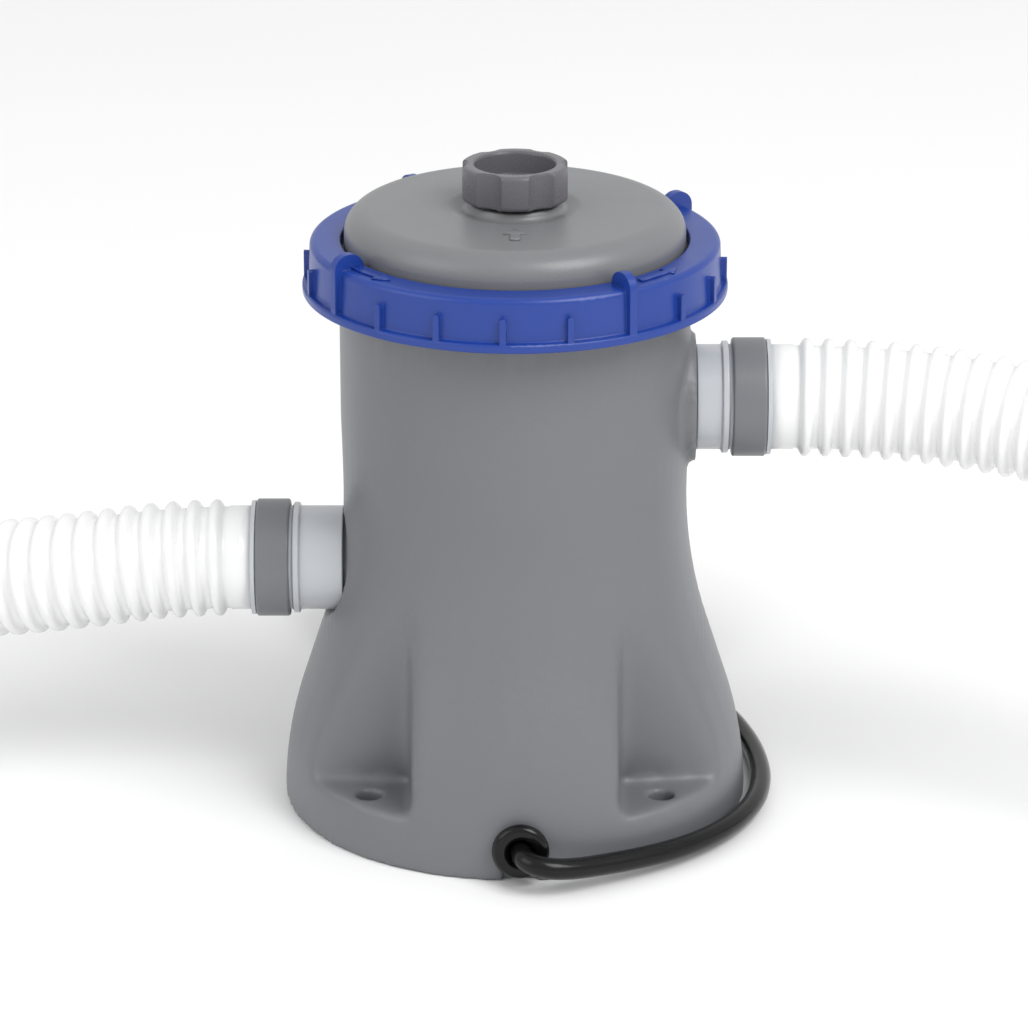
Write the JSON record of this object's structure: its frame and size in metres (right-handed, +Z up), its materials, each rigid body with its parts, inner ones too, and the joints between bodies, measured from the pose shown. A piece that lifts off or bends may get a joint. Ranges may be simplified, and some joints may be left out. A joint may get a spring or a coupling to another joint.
{
  "type": "cartridge filter pump",
  "caption": "Small pool filter pump: flared grey housing, blue screw ring, domed cover with an air-release knob, side ports with ribbed hoses and a mains cord.",
  "frame": {"origin": "centre of the round base's underside, on the surface it stands on", "axes": "+Z up along the housing's axis, +X towards the upper inlet port, -X towards the lower outlet port, -Y towards the front where the mains cord leaves"},
  "size_m": [1.3942, 0.4442, 0.2448],
  "materials": {
    "body_grey": "satin moulded",
    "cover_grey": "satin moulded",
    "knob_grey": "satin moulded",
    "ring_blue": "satin moulded",
    "seal_rubber": "matt",
    "cap_blue": "matt moulded",
    "pleat_paper": "non-woven",
    "inner_plastic": "satin moulded",
    "ceramic": "polished ceramic",
    "magnet_dark": "sintered",
    "screw_steel": "stainless",
    "lamination": "varnished laminations",
    "bobbin_nylon": "moulded",
    "copper_wire": "enamelled wire",
    "terminal_white": "moulded",
    "cord_black": "glossy",
    "grommet_black": "glossy",
    "hose_clear": "translucent",
    "cuff_clear": "translucent",
    "collar_grey": "satin moulded",
    "plug_black": "matt moulded",
    "pin_brass": "nickel plated",
    "tie_black": "hook and loop"
  },
  "bodies": {
    "root": {"pump_housing": "body_grey", "base_plate": "body_grey", "base_screws": "screw_steel", "rotor_can": "inner_plastic", "can_seal": "seal_rubber", "can_screws": "screw_steel", "impeller_cover": "inner_plastic", "impeller_cover_screws": "screw_steel", "upper_bush": "ceramic", "lower_bush": "ceramic", "stator_core": "lamination", "coil_bobbins": "bobbin_nylon", "coil_windings": "copper_wire", "stator_screws": "screw_steel", "cable_clamp": "inner_plastic", "clamp_screws": "screw_steel", "terminal_block": "terminal_white", "cable_grommet": "grommet_black", "inner_lead": "cord_black", "inlet_hose_cuff": "cuff_clear", "inlet_hose_collar": "collar_grey", "outlet_hose_cuff": "cuff_clear", "outlet_hose_collar": "collar_grey", "inlet_hose": "hose_clear", "inlet_hose_end": "cuff_clear", "outlet_hose": "hose_clear", "outlet_hose_end": "cuff_clear", "power_cord": "cord_black", "cord_coil": "cord_black", "cord_tie": "tie_black", "power_cord_tail": "cord_black", "plug_body": "plug_black", "plug_pins": "pin_brass", "cover_seal": "seal_rubber"},
    "cover": {"top_cover": "cover_grey"},
    "ring": {"lock_ring": "ring_blue"},
    "air_seal": {"air_valve_seal": "seal_rubber"},
    "air_screw": {"air_release_knob": "knob_grey", "stem_clip": "screw_steel"},
    "cartridge": {"cartridge_bottom_cap": "cap_blue", "cartridge_top_cap": "cap_blue", "cartridge_pleats": "pleat_paper", "cartridge_core": "inner_plastic"},
    "rotor": {"impeller": "inner_plastic", "rotor_magnet": "magnet_dark", "rotor_shaft": "ceramic"}
  },
  "joints": [
    {"name": "cover_lift", "type": "slide", "parent": "root", "child": "cover", "axis": [0, 0, 1], "range_m": [0, 0.15]},
    {"name": "ring_turn", "type": "hinge", "parent": "cover", "child": "ring", "pos_m": [0, 0, 0.205], "axis": [0, 0, 1], "range_deg": [0, 1350]},
    {"name": "valve_rise", "type": "slide", "parent": "cover", "child": "air_seal", "axis": [0, 0, 1], "range_m": [0, 0.0045]},
    {"name": "knob_turn", "type": "hinge", "parent": "air_seal", "child": "air_screw", "pos_m": [0, 0, 0.235], "axis": [0, 0, 1], "range_deg": [0, 540]},
    {"name": "cartridge_lift", "type": "slide", "parent": "root", "child": "cartridge", "axis": [0, 0, 1], "range_m": [0, 0.1125]},
    {"name": "impeller_spin", "type": "hinge", "parent": "root", "child": "rotor", "pos_m": [0, 0, 0.06], "axis": [0, 0, 1], "continuous": true}
  ],
  "couplings": [
    {"joint": "ring_turn", "follows": "cover_lift", "rad_per_m": 157.08},
    {"joint": "cartridge_lift", "follows": "cover_lift", "ratio": 0.75},
    {"joint": "valve_rise", "follows": "knob_turn", "m_per_rad": 0.00047746}
  ]
}
